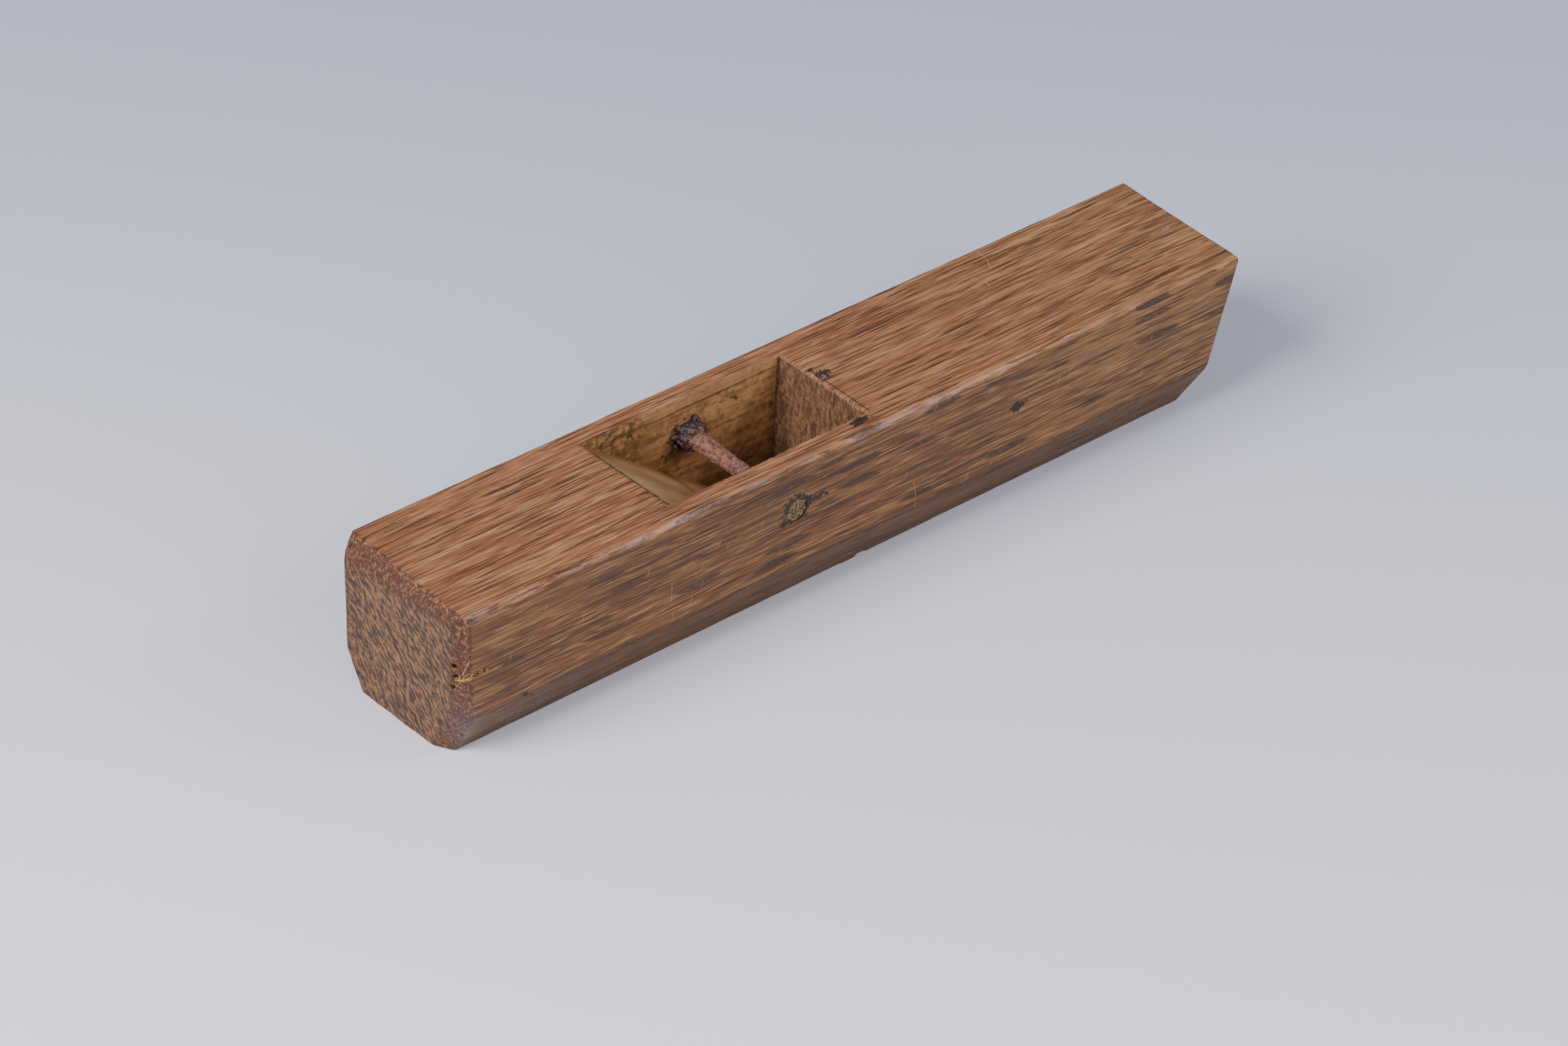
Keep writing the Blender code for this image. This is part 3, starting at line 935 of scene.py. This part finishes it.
    relief = node("minus", node("minus", fibre, pores), node("times", rays, 0.5))
    gloss = node("range", fibre, 0.3, 0.7, 0.5, 0.66)
    dress(shader, {
        "Base Color": base, "Normal": node("bump", Height=relief, Distance=0.00016, Strength=0.8),
        "Roughness": node("minus", gloss, node("times", polishAndPaintedSheen, 0.32)),
        "Specular IOR Level": 0.28,
    })
    return made


throatLook = {
    "bed": ("94704A", "B48F64"), "bedFibre": "C0A37C", "bedPore": "4A3828", "rim": "25201D",
    "rust": "A2602E", "ochre": "94602A", "wall": ("805836", "B98B5A"), "wallFibre": "C79A68",
    "wallPore": "452C1A", "lip": "BC9266", "paintedGrooveShade": "35221A", "smudgeAndPaintedShade": "4C321E", "olive": "4C3B1C",
    "front": ("52392A", "886448"), "smoky": "3A271C", "corner": "2B1E18", "stainAndPaintedShade": "1E1815",
}


# The bed planed across the grain: smooth and pale, rust run into its far corner, a dirty broken rim
def bedColour(node, look, place, fibre, pores):
    y, z = (node("axes", place).outputs[axis] for axis in ("Y", "Z"))
    drip = drawnNoise(node, place, (0.12, 0.9, 0.12))
    dripMm = node("range", drip, 0.3, 0.7, -0.8, 0.8)
    far = node("minus", node("plus", y, z), node("times", drip, 14))
    base, cloud = look["bed"]
    return layered(node, base, [
        (cloud, drawnNoise(node, place, (0.05, 0.07, 0.05)), 0.3, 0.7),
        (look["bedFibre"], fibre, 0.5, 0.7, 0, 0.12),
        (look["bedPore"], pores, 0.2),
        (look["rim"], node("plus", z, dripMm), 49.6, 50.5, 0, 0.9),
        (look["olive"], node("range", far, 50, 58), 0.6),
        (look["ochre"], node("plus", y, dripMm), 12.5, 19.5, 0, 0.75),
    ])


# The cheek walls pared along the grain: warm streaks, a paler strip, a dark line of painted groove shade
# under the top edge, and painted shade deeper down
def wallColour(node, look, place, grain, ragged, fibre, pores):
    x, z = (node("axes", place).outputs[axis] for axis in ("X", "Z"))
    streak = grainNoise(node, grain, (30, 1.4, 3.0), 3, 50)
    shade = node("plus", node("times", streak, 0.5), node("times", ragged, 0.5))
    wavy = node("plus", z, node("range", streak, 0.3, 0.7, -0.5, 0.5))
    paintedGrooveShadeSides = [node("range", wavy, *span) for span in ((46.9, 47.3), (47.9, 47.5))]
    high = node("times", node("range", x, -38, -52), node("range", ragged, 0.36, 0.56))
    base, warm = look["wall"]
    return layered(node, base, [
        (warm, shade, 0.36, 0.62),
        (look["wallFibre"], fibre, 0.54, 0.68, 0, 0.3),
        (look["wallPore"], pores, 0.5),
        (look["smudgeAndPaintedShade"], drawnNoise(node, place, (0.07, 0.2, 0.14), 4.0), 0.52, 0.64, 0, 0.35),
        # darker towards the bottom of the throat: painted shade
        (look["smudgeAndPaintedShade"], z, 26, 8, 0, 0.4),
        (look["lip"], node("range", wavy, 47.6, 48.2), 0.35),
        # a dark line under the top edge: painted shade of a groove that the wall's shape does not have
        (look["paintedGrooveShade"], node("smaller", *paintedGrooveShadeSides), 0.6),
        (look["olive"], high, 0.8),
    ])


# The front wall chopped across the grain: dull and mottled, with painted shade in its far corner
def frontColour(node, look, place, grain, ragged):
    y = node("axes", place).outputs["Y"]
    streak = drawnNoise(node, place, (1, 0.9, 0.3))
    speck = grainNoise(node, grain, (6, 0.6, 1.3), 3, 23)
    shade = node("plus", node("times", streak, 0.45), node("times", speck, 0.55))
    corner = node("plus", y, node("range", ragged, 0.3, 0.7, -0.8, 0.8))
    base, pale = look["front"]
    return layered(node, base, [
        (pale, shade, 0.38, 0.62),
        (look["smoky"], drawnNoise(node, place, (0.2, 0.3, 0.1)), 0.5, 0.64, 0, 0.5),
        # painted shade in the corner where the front wall meets the far wall
        (look["corner"], corner, 18.4, 20.2, 0, 0.7),
    ])


# Oak cut inside the throat, darkened by oil, by rust run down from the pin and by painted shade in its
# corners and depths: satin, softly marked
def throatMaterial(name, part):
    look = throatLook
    made, node, shader = newMaterial(name)
    place = inMillimetres(node)
    grain = grainSpace(node, place)
    dark, smoke, pale = painted(node, "stainAndPaintedShade")
    ragged = node("noise", place, 0.45, 4.0)
    fibre = grainNoise(node, grain, (9, 0.5, 0.8), 3, 7)
    pores = node("range", grainNoise(node, grain, (6, 0.4, 0.6), 2, 19), 0.58, 0.7, 0, 0.6)
    if part == "bed":
        base = bedColour(node, look, place, fibre, pores)
    elif part == "wall":
        base = wallColour(node, look, place, grain, ragged, fibre, pores)
    else:
        base = frontColour(node, look, place, grain, ragged)
    frayed = node("plus", dark, node("range", ragged, 0.25, 0.75, -0.35, 0.35))
    base = layered(node, base, [
        (look["rust"], smoke, node("range", ragged, 0.4, 0.6, 0, 0.7)),
        (look["stainAndPaintedShade"], frayed, 0.35, 0.8, 0, 0.85),
    ])
    bump = node("bump", Height=node("minus", fibre, pores), Distance=0.00012, Strength=0.7)
    dress(shader, {"Base Color": base, "Normal": bump, "Roughness": 0.5})
    return made


# Two colours in soft patches, for surfaces too small for more: name, patch scale, colours, roughness
smallFinishes = {
    "bore": ("oak_bored_blackened", 0.8, ("17110E", "3B2A1F"), 0.8),     # rust and oil, dull black
    "worm": ("oak_worm_eaten_raw", 1.6, ("4A321C", "B98A50"), 0.9),      # dry, paler than handled faces
}


def patchyMaterial(kind):
    name, scale, colours, roughness = smallFinishes[kind]
    made, node, shader = newMaterial(name)
    patch = node("range", node("noise", inMillimetres(node), scale, 3.0), 0.4, 0.65)
    dress(shader, {"Base Color": node("mix", patch, *colours), "Roughness": roughness})
    return made


rustLook = {
    "shank": ("573832", "905A40"), "salmon": "AC7052", "steel": "6C6F7A", "crust": ("2A1E25", "5A3C3A"),
    "ochre": "A98446", "olive": "5E4C28", "deep": "221816",
}


# Wrought iron under layered rust: matt salmon and brown flakes on the shank, wet-looking dark
# knobs by the cheek, and ochre scale on the sawn ends
def rustMaterial():
    look = rustLook
    made, node, shader = newMaterial("wrought_iron_rusted")
    place = inMillimetres(node)
    y = node("axes", place).outputs["Y"]
    broad = node("noise", place, 0.55, 4.0, 0.6)
    fine = node("noise", place, 1.7, 4.0, 0.65)
    grey = node("noise", place, 0.8, 3.0, Distortion=0.6)
    spots = node("noise", place, 0.42, 2.0)
    base, worn = look["crust"]
    crust = layered(node, base, [(worn, fine, 0.45, 0.65), (look["olive"], spots, 0.62, 0.7, 0, 0.8)])
    scale = [(look["ochre"], broad, 0.42, 0.6), (look["deep"], fine, 0.56, 0.44, 0, 0.95)]
    endTone = layered(node, look["olive"], scale)
    creep = node("plus", y, node("range", broad, 0.3, 0.7, -1.5, 1.5))
    isCrust = node("range", creep, 14.2, 16.2)
    isEnd = node("range", node("absolute", y), 24.5, 26.2)
    base, flaked = look["shank"]
    base = layered(node, base, [
        (flaked, broad, 0.38, 0.62), (look["salmon"], fine, 0.52, 0.68, 0, 0.8),
        (look["steel"], grey, 0.56, 0.66, 0, 0.7), (look["deep"], fine, 0.46, 0.32, 0, 0.9),
        (crust, isCrust), (endTone, isEnd),
    ])
    gloss = node("range", node("minus", isCrust, isEnd), 0, 1, 0.75, 0.28)
    bump = node("bump", Height=fine, Distance=0.0003, Strength=0.8)
    dress(shader, {"Base Color": base, "Roughness": gloss, "Normal": bump})
    return made


nailLook = {"patches": ("4E4946", "A2A2A6"), "gloss": (0.6, 0.3), "metal": 0.8}


# Broken wrought iron, its top rubbed to bare grey metal with dull pits
def nailMaterial():
    made, node, shader = newMaterial("nail_iron_rubbed_bare")
    patch = node("range", node("noise", inMillimetres(node), 1.3, 3.0), 0.4, 0.6)
    dress(shader, {
        "Base Color": node("mix", patch, *nailLook["patches"]),
        "Roughness": node("range", patch, 0, 1, *nailLook["gloss"]), "Metallic": nailLook["metal"],
    })
    return made


# Gives the throat's walls their own finishes; what was bored keeps the cutter's
def fillThroat(obj, wood):
    mesh = obj.data
    bed = len(mesh.materials)
    for material in wood:
        mesh.materials.append(material)
    for face in mesh.polygons:
        x, y, z = face.center / mm
        chamferMouth = z < 1.2 and abs(y) > 18.1
        if face.material_index > 0 or z > height - 0.35 or chamferMouth:
            continue
        if abs(throatGap(np.array([[x, y, z]]))[0]) > 0.3:
            continue
        if abs(face.normal.y) > 0.7:
            face.material_index = bed + 1
        elif face.normal.x > 0.2:
            face.material_index = bed
        elif face.normal.x < -0.7:
            face.material_index = bed + 2


# The parts, made in turn
stockPiece = shapeStock()
stockPiece.data.materials.append(oakMaterial())
print("stock shaped:", len(stockPiece.data.polygons), "faces")
boreStock(stockPiece, patchyMaterial("bore"), patchyMaterial("worm"))
throatFinishes = [("oak_bed_planed_oiled", "bed"), ("oak_cheek_pared_stained_painted_shade", "wall"),
                  ("oak_throat_end_grain", "front")]
fillThroat(stockPiece, [throatMaterial(name, part) for name, part in throatFinishes])
paintStock(stockPiece)
stockPiece.data.shade_smooth()
stockPiece.data.set_sharp_from_angle(angle=radians(38))
print("stock bored and painted:", len(stockPiece.data.polygons), "faces")
pinPiece = shapePin(rustMaterial())
print("pin made:", len(pinPiece.data.polygons), "faces")
nailPiece = shapeNail(nailMaterial())
print("nail made:", len(nailPiece.data.polygons), "faces")

for piece, node, slot in ((stockPiece, "stock", "stock_wood"), (pinPiece, "cross_pin", "pin_iron"),
                          (nailPiece, "broken_nail", "nail_iron")):
    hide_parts(node)
    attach(piece, "root")


# The studio: a pale floor darkening towards the back as painted falloff of light, a big soft lamp behind
# the heel and a low softbox on the near side
studio = {
    "floor": ("F6F7FF", "BCC2DA"), "paintedFalloffAlong": (0.66, 0.75, 0), "sky": "C8CCD8", "skyStrength": 0.5,
    "lamps": [                             # place and side in metres, power in watts, colour
        ("key", (-1.35, 0.1, 1.15), 1.0, 42.5, "FBFAFC"),
        ("fill", (0.0, -1.55, 0.75), 1.0, 12.5, "FFFCF6"),
        ("softbox", (0.9, -0.98, 1.04), 0.4, 8.0, "F6F3FF"),
    ],
}


def lightStudio():
    reach = 4.0
    mesh = bpy.data.meshes.new("studio_floor")
    corners = [(-reach, -reach, 0), (reach, -reach, 0), (reach, reach, 0), (-reach, reach, 0)]
    mesh.from_pydata(corners, [], [(0, 1, 2, 3)])
    paper, node, shader = newMaterial("matt_background_paper")
    place = node("coordinates").outputs["Object"]
    along = node("dot", place, studio["paintedFalloffAlong"])
    # the floor's colour darkens towards the back: painted falloff of light
    tint = node("mix", node("range", along, -0.4, 0.4), *studio["floor"])
    dress(shader, {"Base Color": tint, "Roughness": 0.9})
    mesh.materials.append(paper)
    floor = linked("studio_floor", mesh)
    sky = bpy.data.worlds.new("soft_room")
    sky.use_nodes = True
    glow = sky.node_tree.nodes["Background"].inputs
    glow["Color"].default_value = colour(studio["sky"])
    glow["Strength"].default_value = studio["skyStrength"]
    bpy.context.scene.world = sky
    for name, place, size, power, tint in studio["lamps"]:
        lamp = bpy.data.lights.new(name, "AREA")
        lamp.shape = "SQUARE"
        lamp.size = size
        lamp.energy = power
        lamp.color = colour(tint)[:3]
        made = linked(name, lamp)
        made.location = place
        made.rotation_euler = (Vector((0, 0, 0.02)) - made.location).to_track_quat("-Z", "Y").to_euler()


camera = {                                 # metres; the lens and the sensor in millimetres
    "lens": 114.85, "sensor": 36, "nearest": 0.01, "place": (-0.80854, -0.91656, 0.88274),
    "right": (0.76373, -0.64519, 0.02145), "up": (0.36396, 0.45779, 0.81117),
}


def addCamera():
    lens = bpy.data.cameras.new("camera")
    lens.lens = camera["lens"]
    lens.sensor_width = camera["sensor"]
    lens.clip_start = camera["nearest"]
    made = linked("camera", lens)
    right, up = Vector(camera["right"]), Vector(camera["up"])
    turn = Matrix((right, up, right.cross(up))).transposed()
    made.matrix_world = Matrix.Translation(camera["place"]) @ turn.to_4x4()
    bpy.context.scene.camera = made


lightStudio()
addCamera()
print("studio lit")
